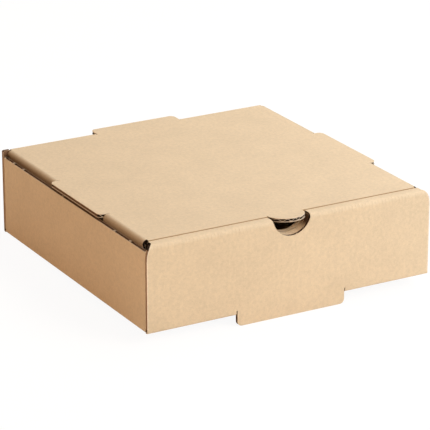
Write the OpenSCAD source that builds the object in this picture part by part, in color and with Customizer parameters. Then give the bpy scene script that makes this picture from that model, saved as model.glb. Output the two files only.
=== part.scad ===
// Bakery box folded from one blank of corrugated board.
// The front wall rolls over two more layers of board, and the lid is hinged on the back wall.
// Millimetres. X runs across the front, the front faces -Y and Z is up.
// The origin is the centre of the base's underside.

/* [Board] */
// Thickness of the corrugated board
board_t = 3; // [2.4:0.1:3.4]
// Room between layers of board that lie against each other
layer_gap = 0.25; // [0.15:0.05:0.4]
// Width of the line that the cutting rule leaves round a tab
kerf = 0.5; // [0.3:0.1:0.8]
// Outer radius of a sharp, crushed crease
crease_r = 1.2; // [0.6:0.1:2]
// Outer radius of the folds along the base
base_fold_r = 2.6; // [1.5:0.1:2.8]

/* [Flutes] */
// Distance from wave to wave of the fluted layer
flute_pitch = 6.3; // [5.5:0.1:8]
// Thickness of the flat liners
liner_t = 0.45; // [0.3:0.05:0.6]
// Thickness of the fluted layer
medium_t = 0.4; // [0.3:0.05:0.6]
// Depth to which the flutes stand open in an edge cut across them
flute_open = 5; // [2:0.5:8]
// Depth of the channel in an edge cut along the flutes
channel_open = 2.4; // [1:0.1:3]

/* [Body] */
// Outer width across the front
body_w = 260; // [230:1:360]
// Outer depth from the front face to the back face
body_d = 260; // [230:1:360]
// Height from the base's underside to the lid's top face
body_h = 73; // [62:1:110]
// Length of the corner flaps behind the front and back walls
corner_flap_l = 60; // [40:1:68]
// Drop of each corner flap's end, which is cut at a slant
corner_flap_slant = 6; // [0:1:12]
// Corner radius of the ears at the ends of the back wall
ear_r = 1.2; // [0.5:0.1:2.5]
// Height of the right ear above the side walls, where the left one is level with the lid
right_ear_h = 0.7; // [0.2:0.1:3]

/* [Front roll] */
// Outer radius of the soft fold at the top of the front wall
roll_r = 4; // [3.5:0.1:5]
// Slack inside the roll, beside its three layers
roll_slack = 0.3; // [0.1:0.05:0.8]
// Radius of the front wall's round shoulders
shoulder_r = 8.5; // [6:0.5:12]
// Radius of the thumb notch
notch_r = 17.5; // [14:0.5:22]
// Height of the notch's centre above the lid's top face
notch_rise = 2.3; // [1.5:0.1:3.5]
// Width of the tab that stays in line with the front wall below the base
foot_tab_w = 99; // [60:1:120]
// Drop of that tab below the base
foot_tab_drop = 9.8; // [6:0.1:12]
// Corner radius of that tab
foot_tab_r = 4; // [2:0.5:5]
// Height of the relief cuts beside that tab
foot_relief_h = 3.6; // [3.5:0.1:6]
// Width of the relief cuts
relief_w = 0.9; // [0.6:0.1:1.5]
// Room at each side of the lock tab in the base slot
lock_side_gap = 2.5; // [1:0.5:5]
// Room behind the lock tab in the base slot
lock_back_gap = 0.4; // [0.3:0.1:1]

/* [Lid] */
// Outer radius of the lid's side folds
lid_fold_r = 4; // [3.5:0.1:6]
// Room between a lid side flap and the side wall
side_clear = 0.5; // [0.3:0.1:1.5]
// Room between the lid's front edge and the front roll
lid_front_gap = 0.3; // [0.2:0.05:0.6]
// Room under the lid's hinge fold
hinge_gap = 0.2; // [0.15:0.05:0.5]
// Room between the ends of the hinge fold and the back wall's ears
ear_gap = 0.8; // [0.4:0.1:2]
// Room between the lid's side tabs and the raw top edge of the side walls
side_tab_gap = 2.5; // [1:0.1:4]
// Depth of the lid's side flaps below their folds
side_flap_h = 38; // [25:1:45]
// Distance from the lid's front edge to the front end of a side flap and its fold
side_flap_front = 1; // [0.5:0.5:20]
// Distance from the back face to the back end of a side flap
side_flap_back = 8; // [7.5:0.5:20]
// Distance from the back face to the back end of a side flap's fold
side_fold_back = 4; // [4:0.1:8]
// Depth of the tuck flap at the lid's front
tuck_flap_h = 36; // [25:1:40]
// Distance from the lid's side edge to the tuck flap
tuck_flap_inset = 5; // [2:0.5:20]
// Lean of the tuck flap towards the inside, which lets it swing out past the roll
tuck_flap_lean = 5.5; // [5.2:0.1:9]
// Slant of the flaps' ends from the square
flap_slant = 8; // [0:1:15]
// Corner radius of the flaps
flap_r = 9; // [3:1:12]

/* [Tabs] */
// Distance from the front face to the middle of the lid's side tabs
side_tab_mid = 124; // [100:1:150]
// Length of the lid's side tabs
side_tab_l = 88; // [50:1:120]
// Length of the lid's back tab
back_tab_l = 81; // [50:1:100]
// Reach of the back tab beyond the back face
back_tab_reach = 11; // [6:0.5:14]
// Corner radius of the lid's tabs
tab_r = 4.5; // [2:0.5:6]
// Depth of the relief cuts into the lid at the ends of its tabs
tab_relief_d = 1.6; // [0.8:0.1:3]
// Radius of the half-moon thumb tab
thumb_r = 15.6; // [12:0.1:16]
// Distance from the lid's front edge back to the centre of the thumb tab
thumb_back = 1; // [0.5:0.1:3]
// Upward bend of the thumb tab
thumb_lift = 5; // [0:0.5:9]

/* [Hidden] */
$fn = 96;
over = 1;
tray_colour = [0.84, 0.7, 0.52];
lid_colour = [0.86, 0.73, 0.56];

front_y = -body_d / 2;
back_y = body_d / 2;
half_w = body_w / 2;
base_c = corner(base_fold_r);

// Triangular cell between the fluted layer and a liner
core_h = board_t - 2 * liner_t;
flute_side = norm([core_h, flute_pitch / 2]);
cell_w = flute_pitch / 2 - medium_t * flute_side / core_h / 2;
cell_h = core_h - medium_t * flute_side / flute_pitch;
crease_c = corner(crease_r);
roll_c = corner(roll_r);
lid_c = corner(lid_fold_r);

// Front roll: outer wall, corner flap and inner panel
roll_d = 3 * board_t + 2 * layer_gap + roll_slack;
flap_y = board_t + layer_gap;
inner_y = roll_d - board_t;
strip_w = body_w - 2 * shoulder_r;
slot_back = roll_d + lock_back_gap;
lock_w = foot_tab_w - 2 * lock_side_gap;

// Hinge line in the middle of the board at the top of the back wall
hinge_y = back_y - board_t / 2;
hinge_z = body_h - board_t / 2;
back_top = body_h - board_t - hinge_gap;
back_tab_out = back_tab_reach + board_t / 2;

// Lid panel between its folds
lid_front = front_y + roll_d + lid_front_gap;
lid_half = half_w - board_t - side_clear - lid_c;
lid_flap_x = lid_half + lid_c;
side_tab_reach = half_w - lid_half;
fold_arc = PI / 2 * (lid_c - board_t / 2);
side_hole_drop = lid_c + max(side_tab_reach - fold_arc, 0) + kerf;
side_h = body_h - board_t - side_tab_gap;
side_mid = front_y + side_tab_mid;
side_front = lid_front + side_flap_front;
side_back = back_y - side_flap_back;

// Side of the square that a fold takes up in section
function corner(r) = max(r, board_t);

// Points of an outline whose corners are rounded, each by its own radius
function rounded(pts, radii, steps = 6) = [
    for (i = [0 : len(pts) - 1])
        each rounded_corner(
            pts[(i + len(pts) - 1) % len(pts)], pts[i], pts[(i + 1) % len(pts)], radii[i], steps)
];

function unit(v) = v / norm(v);

function rounded_corner(a, p, b, r, steps) =
    r <= 0 ? [p] :
    let (
        u = unit(a - p),
        v = unit(b - p),
        half = acos(u * v) / 2,
        centre = p + unit(u + v) * r / sin(half),
        start = p + u * r / tan(half) - centre,
        turn = (u.x * v.y - u.y * v.x > 0 ? -1 : 1) * (180 - 2 * half)
    )
    [for (k = [0 : steps])
        let (t = turn * k / steps)
            centre + [start.x * cos(t) - start.y * sin(t), start.x * sin(t) + start.y * cos(t)]];

// Places a section drawn as Y and Z along X, centred
module along_x(length) {
    rotate([90, 0, 90])
        linear_extrude(length, center = true)
            children();
}

// Places an outline drawn as X and Z between two values of Y
module along_y(from, to) {
    translate([0, to, 0])
        rotate([90, 0, 0])
            linear_extrude(to - from)
                children();
}

// Places an outline drawn as X and Y between two values of Z
module along_z(from, to) {
    translate([0, 0, from])
        linear_extrude(to - from)
            children();
}

module both_sides() {
    children();
    mirror([1, 0, 0])
        children();
}

// Section of a right-angle fold, its outer corner at the origin and turned by a quarter or more.
// Unturned, its two panels leave towards -X and -Y.
module fold(r, turn) {
    c = corner(r);
    rotate(turn)
        translate([-c, -c])
            if (r > board_t)
                difference() {
                    intersection() {
                        circle(r);
                        square(r);
                    }
                    circle(r - board_t);
                }
            else
                union() {
                    square([c, c - r]);
                    square([c - r, c]);
                    translate([c - r, c - r])
                        intersection() {
                            circle(r);
                            square(r);
                        }
                }
}

// Section of the open cells of a panel, seen along its flutes.
// Only whole cells within the width are open, and Y runs through the board.
module flute_cells(width) {
    n = ceil(width / flute_pitch);
    for (k = [-n : n])
        if (abs(k) * flute_pitch / 2 + cell_w < width / 2 - medium_t)
            translate([k * flute_pitch / 2, k % 2 == 0 ? liner_t : board_t - liner_t])
                polygon([[-cell_w, 0], [cell_w, 0], [0, k % 2 == 0 ? cell_h : -cell_h]]);
}

// Part of a flat outline that lies close to the edges that a shift lays bare
module rim(shift) {
    difference() {
        children();
        translate(shift)
            children();
    }
}

// Open flutes of an upright panel seen from the front.
// Edges that face up are open for up = 1, and those that face down for up = -1.
module upright_flutes(y, width, up) {
    intersection() {
        translate([0, y, -body_h])
            linear_extrude(3 * body_h)
                flute_cells(width);
        along_y(y, y + board_t)
            rim([0, -up * flute_open])
                children();
    }
}

// Open flutes of a level panel seen from above, in edges that face the back or the front
module level_flutes(z, width, back) {
    intersection() {
        translate([0, body_d, z])
            rotate([90, 0, 0])
                linear_extrude(2 * body_d)
                    flute_cells(width);
        along_z(z, z + board_t)
            rim([0, -back * flute_open])
                children();
    }
}

// Section of the channel in an edge that was cut along the flutes.
// The edge is at x = 0, the board lies towards +X and Y runs through it.
module channel() {
    polygon([
        [-over, liner_t],
        [channel_open, liner_t],
        [0, board_t - liner_t],
        [-over, board_t - liner_t]
    ]);
}

// Outline of a flap that hangs from y = 0, with slanted ends and round corners
module flap_outline(from, to, drop, slant, r) {
    s = drop * tan(slant);
    polygon(rounded([[from, 0], [from + s, -drop], [to - s, -drop], [to, 0]], [0, r, r, 0]));
}

// Outline of a tab that leaves y = 0 towards +Y
module tab_outline(length, reach, r) {
    polygon(rounded(
        [[-length / 2, 0], [-length / 2, reach], [length / 2, reach], [length / 2, 0]],
        [0, r, r, 0]));
}

// The base, with the fold up to each side wall
module base_panel() {
    difference() {
        union() {
            translate([-half_w + base_c, front_y + base_c, 0])
                cube([body_w - 2 * base_c, body_d - 2 * base_c, board_t]);
            both_sides()
                along_y(front_y + flap_y, back_y - flap_y)
                    translate([half_w, 0])
                        fold(base_fold_r, 270);
        }
        lock_slot();
    }
}

// Where the foot tab was cut out of the base, and the lock tab now goes in
module lock_slot() {
    w = foot_tab_w + 2 * relief_w;
    translate([-w / 2, front_y - over, -over])
        cube([w, slot_back + over, base_c + over]);
}

// Front view of the front wall: square below, round at the shoulders
module front_outline() {
    translate([-half_w, 0])
        square([body_w, body_h - shoulder_r]);
    translate([-strip_w / 2, 0])
        square([strip_w, body_h]);
    both_sides()
        translate([half_w - shoulder_r, body_h - shoulder_r])
            circle(shoulder_r);
}

// Section of the front wall, the strip on top of the roll and the crease behind it
module roll_section() {
    fold(base_fold_r, 180);
    translate([0, base_c])
        square([board_t, body_h - base_c - roll_c]);
    translate([0, body_h])
        fold(roll_r, 90);
    translate([roll_c, body_h - board_t])
        square([roll_d - crease_c - roll_c, board_t]);
    translate([roll_d, body_h])
        fold(crease_r, 0);
}

module front_wall() {
    difference() {
        intersection() {
            along_x(body_w)
                translate([front_y, 0])
                    roll_section();
            along_y(front_y - over, front_y + roll_d + over)
                front_outline();
        }
        lock_slot();
        both_sides()
            translate([foot_tab_w / 2, front_y - over, 0])
                cube([relief_w, board_t + 2 * over, foot_relief_h]);
        end_channels(base_c, body_h - shoulder_r);
    }
}

// Upright channels in both raw ends of a front or back wall
module end_channels(from, to) {
    both_sides()
        translate([-half_w, front_y, from])
            linear_extrude(to - from)
                channel();
}

module foot_outline() {
    translate([0, base_c])
        mirror([0, 1])
            tab_outline(foot_tab_w, base_c + foot_tab_drop, foot_tab_r);
}

// The tab that stays in line with the front wall below the base
module foot_tab() {
    difference() {
        along_y(front_y, front_y + board_t)
            foot_outline();
        upright_flutes(front_y, foot_tab_w - 2 * foot_tab_r, -1)
            foot_outline();
    }
}

// The innermost layer of the roll, with the lock tab that stands in the base slot
module inner_panel() {
    y = front_y + inner_y;
    foot = board_t + layer_gap;
    difference() {
        along_y(y, y + board_t) {
            translate([-strip_w / 2, foot])
                square([strip_w, body_h - crease_c - foot]);
            lock_outline();
        }
        upright_flutes(y, lock_w - board_t, -1)
            lock_outline();
    }
}

module lock_outline() {
    translate([0, board_t + layer_gap])
        mirror([0, 1])
            tab_outline(lock_w, board_t, board_t / 2);
}

// Plan of one corner: the side wall's end turns in behind the front or back wall
module corner_plan() {
    translate([-half_w, 0])
        fold(crease_r, 180);
    translate([-half_w + crease_c, 0])
        square([corner_flap_l - crease_c, board_t]);
}

// Front view of the left corner flap, slanted at the top and bottom of its free end
module corner_flap_view() {
    foot = board_t + layer_gap;
    reach = corner_flap_l - half_w;
    polygon([
        [-half_w - over, foot],
        [-half_w + crease_c, foot],
        [reach, foot + corner_flap_slant],
        [reach, side_h - corner_flap_slant],
        [-half_w + crease_c, side_h],
        [-half_w - over, side_h]
    ]);
}

// A corner flap with open flutes at its free end
module corner_flap() {
    y = front_y + flap_y;
    end_low = board_t + layer_gap + corner_flap_slant;
    end_high = side_h - corner_flap_slant;
    difference() {
        intersection() {
            translate([0, y, 0])
                along_z(0, side_h)
                    corner_plan();
            along_y(front_y, y + board_t + crease_c)
                corner_flap_view();
        }
        intersection() {
            translate([0, y, (end_low + end_high) / 2])
                rotate([0, -90, 0])
                    linear_extrude(half_w)
                        flute_cells(end_high - end_low);
            along_y(y, y + board_t)
                rim([-flute_open, 0])
                    corner_flap_view();
        }
    }
}

module side_wall() {
    y = front_y + flap_y + crease_c;
    difference() {
        translate([-half_w, y, base_c])
            cube([board_t, -2 * y, side_h - base_c]);
        translate([-half_w, -y - crease_c, side_h])
            rotate([90, 90, 0])
                linear_extrude(-2 * (y + crease_c))
                    channel();
    }
    corner_flap();
    mirror([0, 1, 0])
        corner_flap();
}

// Front view of the back wall, with an ear beside each end of the lid's hinge fold
module back_outline() {
    ear_w = half_w - lid_half - ear_gap;
    translate([-half_w, base_c])
        square([body_w, side_h - base_c]);
    translate([ear_w - half_w, base_c])
        square([body_w - 2 * ear_w, back_top - base_c]);
    back_ear(ear_w, body_h);
    mirror([1, 0])
        back_ear(ear_w, side_h + right_ear_h);
}

// The left end of the back wall up to the top of its ear
module back_ear(w, top) {
    polygon(rounded(
        [[-half_w, base_c], [-half_w, top], [w - half_w, top], [w - half_w, base_c]],
        [0, ear_r, ear_r, 0]));
}

module back_wall() {
    difference() {
        union() {
            along_y(back_y - board_t, back_y)
                back_outline();
            along_x(body_w)
                translate([back_y, 0])
                    fold(base_fold_r, 270);
        }
        along_y(back_y - board_t - over, back_y + over)
            back_slot();
        upright_flutes(back_y - board_t, back_tab_l - 2 * tab_r, 1)
            difference() {
                translate([-back_tab_l / 2, 0])
                    square([back_tab_l, 2 * body_h]);
                back_slot();
            }
        mirror([0, 1, 0])
            end_channels(base_c, back_top - crease_c);
    }
}

// Where the lid's back tab was cut out of the back wall
module back_slot() {
    translate([0, hinge_z])
        mirror([0, 1])
            tab_outline(back_tab_l + 2 * kerf, back_tab_out + kerf, tab_r);
}

// The half-round thumb notch through the roll, with open flutes along both of its rims
module notch_cut() {
    along_y(front_y - over, front_y + roll_d + over)
        notch_outline();
    for (y = [front_y, front_y + inner_y])
        upright_flutes(y, 2 * notch_r, 1)
            difference() {
                translate([-notch_r, 0])
                    square([2 * notch_r, 2 * body_h]);
                notch_outline();
            }
}

module notch_outline() {
    translate([0, body_h + notch_rise])
        circle(notch_r);
}

module tray() {
    color(tray_colour) {
        base_panel();
        difference() {
            union() {
                front_wall();
                inner_panel();
            }
            notch_cut();
        }
        foot_tab();
        both_sides()
            side_wall();
        back_wall();
    }
}

// The flat of the lid, and the round of its hinge fold at each side of the back tab
module lid_panel() {
    y = lid_front + crease_c;
    inner = back_tab_l / 2 + relief_w;
    translate([-lid_half, y, body_h - board_t])
        cube([2 * lid_half, hinge_y - y, board_t]);
    both_sides()
        translate([(inner + lid_half) / 2, 0, 0])
            along_x(lid_half - inner)
                translate([hinge_y, hinge_z])
                    intersection() {
                        circle(d = board_t);
                        translate([0, -board_t / 2])
                            square([board_t / 2, board_t]);
                    }
}

// The crease along the front of the lid and the tuck flap that hangs from it
module tuck_flap() {
    w = 2 * (lid_half - tuck_flap_inset);
    foot_in = tuck_flap_h * tan(flap_slant) + flap_r;
    along_x(2 * lid_half)
        translate([lid_front, body_h])
            fold(crease_r, 90);
    difference() {
        translate([0, lid_front, body_h - crease_c])
            rotate([tuck_flap_lean, 0, 0])
                difference() {
                    along_y(0, board_t)
                        tuck_outline(w);
                    upright_flutes(0, w - 2 * foot_in, -1)
                        tuck_outline(w);
                }
        along_y(lid_front - over, lid_front + 4 * board_t)
            thumb_hole();
    }
}

module tuck_outline(w) {
    flap_outline(-w / 2, w / 2, tuck_flap_h, flap_slant, flap_r);
}

// The hole that the thumb tab leaves in the tuck flap
module thumb_hole() {
    intersection() {
        translate([0, body_h + thumb_back])
            circle(thumb_r + kerf);
        translate([-half_w, 0])
            square([body_w, body_h - board_t]);
    }
}

// Half a disc in front of the centre of the thumb tab
module half_moon(r) {
    intersection() {
        circle(r);
        translate([-r, -r])
            square([2 * r, r]);
    }
}

// Room for the thumb tab in the lid's front crease
module thumb_room() {
    translate([0, lid_front + thumb_back, 0])
        along_z(body_h - board_t - over, body_h + over)
            half_moon(thumb_r + kerf);
}

// The half-moon tab that stays in line with the lid over the notch
module thumb_tab() {
    translate([0, lid_front + thumb_back, body_h - board_t])
        rotate([-thumb_lift, 0, 0])
            difference() {
                along_z(0, board_t)
                    half_moon(thumb_r);
                level_flutes(0, 2 * thumb_r, -1)
                    half_moon(thumb_r);
            }
}

// One side of the lid: the wide fold, the flap inside the side wall and the tab above the wall
module lid_side() {
    difference() {
        union() {
            along_y(side_front, back_y - side_fold_back)
                translate([lid_flap_x, body_h])
                    fold(lid_fold_r, 0);
            side_flap();
        }
        translate([lid_half, side_mid - side_tab_l / 2 - kerf, body_h - side_hole_drop])
            cube([lid_c + over, side_tab_l + 2 * kerf, side_hole_drop + over]);
    }
    difference() {
        translate([lid_half, side_mid, 0])
            along_z(body_h - board_t, body_h)
                rotate(-90)
                    tab_outline(side_tab_l, side_tab_reach, tab_r);
        translate([half_w, side_mid + side_tab_l / 2 - tab_r, body_h])
            rotate([90, 180, 0])
                linear_extrude(side_tab_l - 2 * tab_r)
                    channel();
    }
}

// A side flap, with open flutes at both ends and a channel along its foot
module side_flap() {
    foot = body_h - lid_c - side_flap_h;
    foot_in = side_flap_h * tan(flap_slant) + flap_r;
    difference() {
        translate([lid_flap_x - board_t, 0, 0])
            rotate([90, 0, 90])
                linear_extrude(board_t)
                    side_outline();
        for (way = [-1, 1])
            intersection() {
                translate([lid_flap_x - board_t, -body_d, foot + side_flap_h / 2])
                    rotate([-90, -90, 0])
                        linear_extrude(2 * body_d)
                            flute_cells(side_flap_h - 2 * flap_r);
                translate([lid_flap_x - board_t, 0, 0])
                    rotate([90, 0, 90])
                        linear_extrude(board_t)
                            rim([way * flute_open, 0])
                                side_outline();
            }
        translate([lid_flap_x - board_t, side_back - foot_in, foot])
            rotate([90, -90, 0])
                mirror([0, 1])
                    linear_extrude(side_back - side_front - 2 * foot_in)
                        channel();
    }
}

module side_outline() {
    translate([0, body_h - lid_c])
        flap_outline(side_front, side_back, side_flap_h, flap_slant, flap_r);
}

// The tab that stays in line with the lid behind the back wall
module back_tab() {
    difference() {
        along_z(body_h - board_t, body_h)
            back_tab_outline();
        level_flutes(body_h - board_t, back_tab_l - 2 * tab_r, 1)
            back_tab_outline();
    }
}

module back_tab_outline() {
    translate([0, hinge_y])
        tab_outline(back_tab_l, back_tab_out, tab_r);
}

// Short cuts into the lid at both ends of the back tab and of the side tabs
module tab_reliefs() {
    both_sides() {
        translate([back_tab_l / 2, hinge_y - tab_relief_d, body_h - board_t - over])
            cube([relief_w, tab_relief_d + board_t, board_t + 2 * over]);
        for (end = [side_mid - side_tab_l / 2 - relief_w, side_mid + side_tab_l / 2])
            translate([lid_half - tab_relief_d, end, body_h - board_t - over])
                cube([tab_relief_d + over, relief_w, board_t + 2 * over]);
    }
}

module lid() {
    color(lid_colour)
        difference() {
            union() {
                difference() {
                    union() {
                        lid_panel();
                        tuck_flap();
                    }
                    thumb_room();
                }
                thumb_tab();
                both_sides()
                    lid_side();
                back_tab();
            }
            tab_reliefs();
        }
}

tray();
lid();
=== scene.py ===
# %% [markdown]
# # A bakery box folded from corrugated board
# The box is one die-cut blank of brown board, folded into a tray with a hinged lid.
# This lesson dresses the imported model: each panel is built again as real corrugated
# board, with two flat liners and a waved sheet between them, so that the cut edges
# show their flutes. All lengths are metres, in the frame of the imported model.

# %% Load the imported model
import math

import bmesh
import bpy
from mathutils import Matrix, Vector, noise


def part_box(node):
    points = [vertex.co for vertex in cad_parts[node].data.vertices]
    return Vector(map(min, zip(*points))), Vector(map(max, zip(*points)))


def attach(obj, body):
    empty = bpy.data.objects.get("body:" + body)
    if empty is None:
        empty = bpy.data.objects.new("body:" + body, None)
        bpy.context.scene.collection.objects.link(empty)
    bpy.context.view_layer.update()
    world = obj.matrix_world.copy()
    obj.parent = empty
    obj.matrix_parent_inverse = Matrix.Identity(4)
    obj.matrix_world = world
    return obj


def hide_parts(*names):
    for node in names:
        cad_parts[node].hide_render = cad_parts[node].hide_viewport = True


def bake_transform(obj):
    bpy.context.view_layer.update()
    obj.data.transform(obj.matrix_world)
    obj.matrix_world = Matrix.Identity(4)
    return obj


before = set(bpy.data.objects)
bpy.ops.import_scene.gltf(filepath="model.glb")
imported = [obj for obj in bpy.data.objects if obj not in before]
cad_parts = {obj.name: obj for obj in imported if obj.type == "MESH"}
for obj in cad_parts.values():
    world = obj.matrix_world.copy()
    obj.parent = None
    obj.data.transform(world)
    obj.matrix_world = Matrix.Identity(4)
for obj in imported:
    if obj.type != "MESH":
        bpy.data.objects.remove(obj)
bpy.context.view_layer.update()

# %% [markdown]
# ## Sizes
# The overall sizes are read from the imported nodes, so the dressing follows them. The
# rest are sizes such as a box maker would write on the die drawing. The smallest here,
# a hair, sets one surface just clear of another.

# %% Sizes of the blank
tray_low, tray_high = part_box("tray")
lid_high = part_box("lid")[1]
half_w = tray_high[0]
front_y = tray_low[1]
back_y = tray_high[1]
top_z = tray_high[2]
foot_z = tray_low[2]

board = 0.003
liner = 0.00045
gap = 0.00025
kerf = 0.0005
relief = 0.0009
hair = 0.0001
crease_r = 0.0012
seam_r = 0.0006
lid_seam_r = 0.0022
base_fold_r = 0.0014
fold_core_depth = crease_r - 0.0004
roll_r = 0.004
roll_slack = 0.0003
roll_depth = 3 * board + 2 * gap + roll_slack
shoulder_in = 0.006
shoulder_drop = 0.012
notch_r = 0.0175
notch_z = top_z + 0.0023
foot_half = 0.0495
foot_slot_half = foot_half + relief
strip_half = half_w - shoulder_in
inner_face = front_y + roll_depth
print(f"box {2 * half_w:.3f} wide, {back_y - front_y:.3f} deep, {top_z:.3f} high")

# %% Sizes of the lid
lid_gap = 0.0003
lid_front = inner_face + lid_gap
lid_fold_r = 0.004
side_clear = 0.0005
lid_half = half_w - board - side_clear - lid_fold_r
flap_x = lid_half + lid_fold_r
lid_under = top_z - board
hinge_y = back_y - board / 2
hinge_z = top_z - board / 2
hinge_gap = 0.0002
back_top = lid_under - hinge_gap
side_tab_gap = 0.0025
side_top = lid_under - side_tab_gap
back_tab_half = 0.0405
back_tab_end = lid_high[1]
side_tab_mid = front_y + 0.124
side_tab_half = 0.044
side_tab = (side_tab_mid - side_tab_half, side_tab_mid + side_tab_half)
side_flap = (lid_front + 0.0035, back_y - 0.008)
side_fold_end = back_y - 0.004
tab_r = 0.0045
thumb_r = 0.0156
thumb_back = 0.001
thumb_y = lid_front + thumb_back
thumb_lift = math.radians(5)
tuck_lean = math.radians(5.5)
tuck_half = lid_half - 0.005
tuck_drop = 0.036
side_drop = 0.038
flap_slant = math.tan(math.radians(8))
flap_r = 0.009
print(f"lid {2 * lid_half:.3f} wide between its folds, hinged at z {hinge_z:.4f}")

# %% [markdown]
# ## Outlines
# A flat panel starts as an outline: a few corner points, each with its own radius.
# `rounded` puts a short arc at each corner, as the cutting rule on the die does.


# %% Outline helpers
def arc(centre, radius, start, end, steps=10):
    """Points on an arc, with its angles in degrees."""
    angles = [math.radians(start + (end - start) * k / steps) for k in range(steps + 1)]
    return [
        Vector((centre[0] + radius * math.cos(a), centre[1] + radius * math.sin(a)))
        for a in angles
    ]


def rounded(corners, steps=6):
    """An outline from (x, y, radius) corners."""
    points = []
    for k, (x, y, radius) in enumerate(corners):
        p = Vector((x, y))
        if not radius:
            points.append(p)
            continue
        to_last = (Vector(corners[k - 1][:2]) - p).normalized()
        to_next = (Vector(corners[(k + 1) % len(corners)][:2]) - p).normalized()
        half = to_last.angle(to_next) / 2
        centre = p + (to_last + to_next).normalized() * radius / math.sin(half)
        first = p + to_last * radius / math.tan(half) - centre
        last = p + to_next * radius / math.tan(half) - centre
        turn = first.angle_signed(last)
        for s in range(steps + 1):
            points.append(centre + Matrix.Rotation(-turn * s / steps, 2) @ first)
    return points


def span(outline, u, through):
    """How far the outline reaches below and above one point of the line at u."""
    low, high = -1.0, 1.0
    inside = 0.00001
    u = min(max(u, min(p.x for p in outline) + inside), max(p.x for p in outline) - inside)
    for a, b in zip(outline, outline[1:] + outline[:1]):
        if (a.x <= u) != (b.x <= u):
            v = a.y + (b.y - a.y) * (u - a.x) / (b.x - a.x)
            if v <= through:
                low = max(low, v)
            else:
                high = min(high, v)
    return low, high


# %% [markdown]
# ## Corrugated board
# Real board is a sandwich: a flat liner, a waved medium and another flat liner.
# A plain block with a striped picture on its rim would look wrong from the side, so
# each panel really gets its three sheets. A panel is drawn flat, with u across the
# flutes, v along them and w into the board, and a matrix then puts it in its place.
# The flat drawing is also the UV map, so the grain follows the board round its folds.
# Four material slots tell the sheets apart: the smooth outside of a liner, the inside
# between the liners, painted very dark as the shade in there, the pale fibres of an edge
# that a knife has cut, and the brown medium that lies bare where a cut runs along the
# flutes, painted darker than its paper as the shade in its hollow.

# %% Flute sizes
flute_pitch = 0.0063
flute_steps = 10
wave_height = (board - 2 * liner) / 2 - 0.00015
medium_sheet = 0.0003
edge_inset = 0.0003
tear_step = 0.0012
tear_scale = 700
sharp_angle = math.radians(40)
LINER, CORE, RIM, TORN = 0, 1, 2, 3
print(f"flutes {flute_pitch * 1000:.1f} mm apart and {wave_height * 2000:.2f} mm high")


def wave(u):
    """Height of the medium at u, from the middle of the board."""
    return wave_height * math.cos(2 * math.pi * u / flute_pitch)


# %% Liners
def thicken(bm, grid, thickness):
    """Gives a sheet its thickness. Returns its broad faces and the faces along its edges."""
    broad = {f for v in grid for f in v.link_faces}
    made = bmesh.ops.solidify(bm, geom=list(broad), thickness=thickness)["geom"]
    broad |= {g for g in made if isinstance(g, bmesh.types.BMFace)}
    return broad, {f for v in grid for f in v.link_faces} - broad


def add_liner(bm, outline, low, high):
    """One flat sheet with the given outline, between two depths of the board."""
    uv = bm.loops.layers.uv.verify()
    ring = [bm.verts.new((p.x, p.y, low)) for p in outline]
    face = bm.faces.new(ring)
    made = bmesh.ops.extrude_face_region(bm, geom=[face])["geom"]
    lifted = [g for g in made if isinstance(g, bmesh.types.BMVert)]
    bmesh.ops.translate(bm, verts=lifted, vec=(0, 0, high - low))
    top = next(g for g in made if isinstance(g, bmesh.types.BMFace))
    sides = {f for v in ring for f in v.link_faces} - {face, top}
    outer, inner = (face, top) if low < board / 2 else (top, face)
    outer.material_index, inner.material_index = LINER, CORE
    for f in sides:
        f.material_index = RIM
    for f in sides | {face, top}:
        for loop in f.loops:
            loop[uv].uv = loop.vert.co.xy


# %% The waved medium
def add_medium(bm, outline, start, end, through):
    """The waved sheet inside the outline, from u = start to u = end."""
    uv = bm.loops.layers.uv.verify()
    columns = max(2, round((end - start) / flute_pitch * flute_steps))
    grid = bmesh.ops.create_grid(bm, x_segments=columns, y_segments=1, size=0.5)["verts"]
    for v in grid:
        u = start + (v.co.x + 0.5) * (end - start)
        low, high = span(outline, u, through)
        v.co = (u, high - edge_inset if v.co.y > 0 else low + edge_inset, board / 2 + wave(u))
    bmesh.ops.translate(bm, verts=grid, vec=(0, 0, -medium_sheet / 2))
    faces, edges = thicken(bm, grid, -medium_sheet)
    for f in faces | edges:
        f.material_index = RIM if f in edges else CORE
        f.smooth = True
        for loop in f.loops:
            loop[uv].uv = loop.vert.co.xy


# %% Torn edges
def add_torn(bm, near, far, push, depth, index=TORN):
    """The bare medium between two cut lines of points, hollow and uneven by depth."""
    uv = bm.loops.layers.uv.verify()
    columns, rows = len(near) - 1, 6
    grid = bmesh.ops.create_grid(bm, x_segments=columns, y_segments=rows, size=0.5)["verts"]
    for v in grid:
        k, across = round((v.co.x + 0.5) * columns), v.co.y + 0.5
        p = near[k].lerp(far[k], across)
        rough = 0.8 + 0.7 * noise.noise(p * tear_scale)
        v.co = p + Vector(push) * depth * rough * math.sin(math.pi * across)
    for f in {f for v in grid for f in v.link_faces}:
        f.material_index = index
        f.smooth = True
        for loop in f.loops:
            loop[uv].uv = (loop.vert.co.x + loop.vert.co.z, loop.vert.co.y)


def add_channel(bm, u, start, end, depth, inward):
    """Bare medium along an edge of a flat panel that was cut along its flutes."""
    steps = max(2, round((end - start) / tear_step))
    line = [start + (end - start) * k / steps for k in range(steps + 1)]
    near = [Vector((u, v, liner)) for v in line]
    far = [Vector((u, v, board - liner)) for v in line]
    add_torn(bm, near, far, (inward, 0, 0), depth)


# %% Finishing a piece
made_pieces = []


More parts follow.
